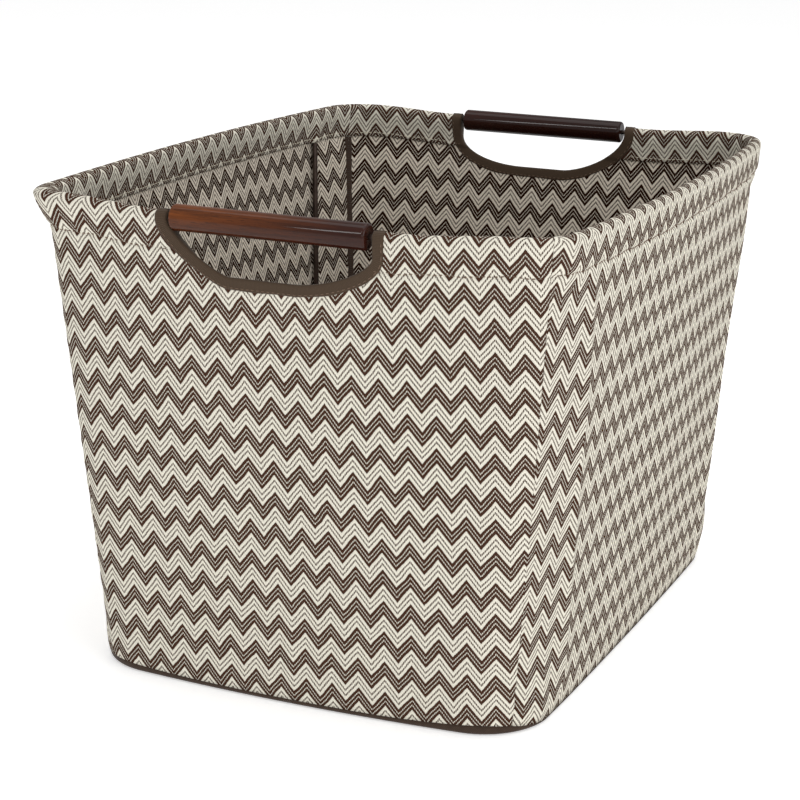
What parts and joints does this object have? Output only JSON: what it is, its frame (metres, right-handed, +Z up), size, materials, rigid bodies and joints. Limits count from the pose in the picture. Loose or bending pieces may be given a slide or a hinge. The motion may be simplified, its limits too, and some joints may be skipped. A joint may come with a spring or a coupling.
{
  "type": "fabric storage bin",
  "caption": "Tapered open storage bin in zigzag fabric on a hidden wire rim, with round wooden grips set in bound hand notches on its short sides.",
  "frame": {"origin": "middle of the underside, on the floor", "axes": "+Z up, +Y along the longer side towards the back grip, -Y is the front with the nearer grip"},
  "size_m": [0.3682, 0.484, 0.3154],
  "materials": {
    "chevron_fabric": "woven zigzag of cream and dark brown yarn",
    "dark_wood": "turned hardwood, dark stain under gloss varnish",
    "dark_wire": "dark bronze coating, satin",
    "binding_tape": "ribbed olive brown tape",
    "overcast_thread": "dark overcast seam",
    "underside_fabric": "plain dark brown cloth",
    "floor_lining_fabric": "plain dark brown cloth",
    "fibreboard": "plain stiff fibreboard"
  },
  "bodies": {
    "bin": {"rim_wire": "dark_wire", "rim_wire_ferrule": "dark_wire", "upright_front_right": "dark_wire", "upright_back_right": "dark_wire", "upright_back_left": "dark_wire", "upright_front_left": "dark_wire", "front_panel": "chevron_fabric", "right_panel": "chevron_fabric", "back_panel": "chevron_fabric", "left_panel": "chevron_fabric", "front_notch_binding": "binding_tape", "back_notch_binding": "binding_tape", "corner_seam_front_right": "overcast_thread", "corner_seam_back_right": "overcast_thread", "corner_seam_back_left": "overcast_thread", "corner_seam_front_left": "overcast_thread", "base_fabric": "underside_fabric", "floor_board": "fibreboard", "floor_lining": "floor_lining_fabric"},
    "front_grip": {"handle_front": "dark_wood"},
    "back_grip": {"handle_back": "dark_wood"}
  },
  "joints": [
    {"name": "handle_front_spin", "type": "hinge", "parent": "bin", "child": "front_grip", "pos_m": [-0.005, -0.234, 0.3074], "axis": [1, 0, 0], "continuous": true},
    {"name": "handle_back_spin", "type": "hinge", "parent": "bin", "child": "back_grip", "pos_m": [-0.005, 0.234, 0.3074], "axis": [1, 0, 0], "continuous": true}
  ]
}
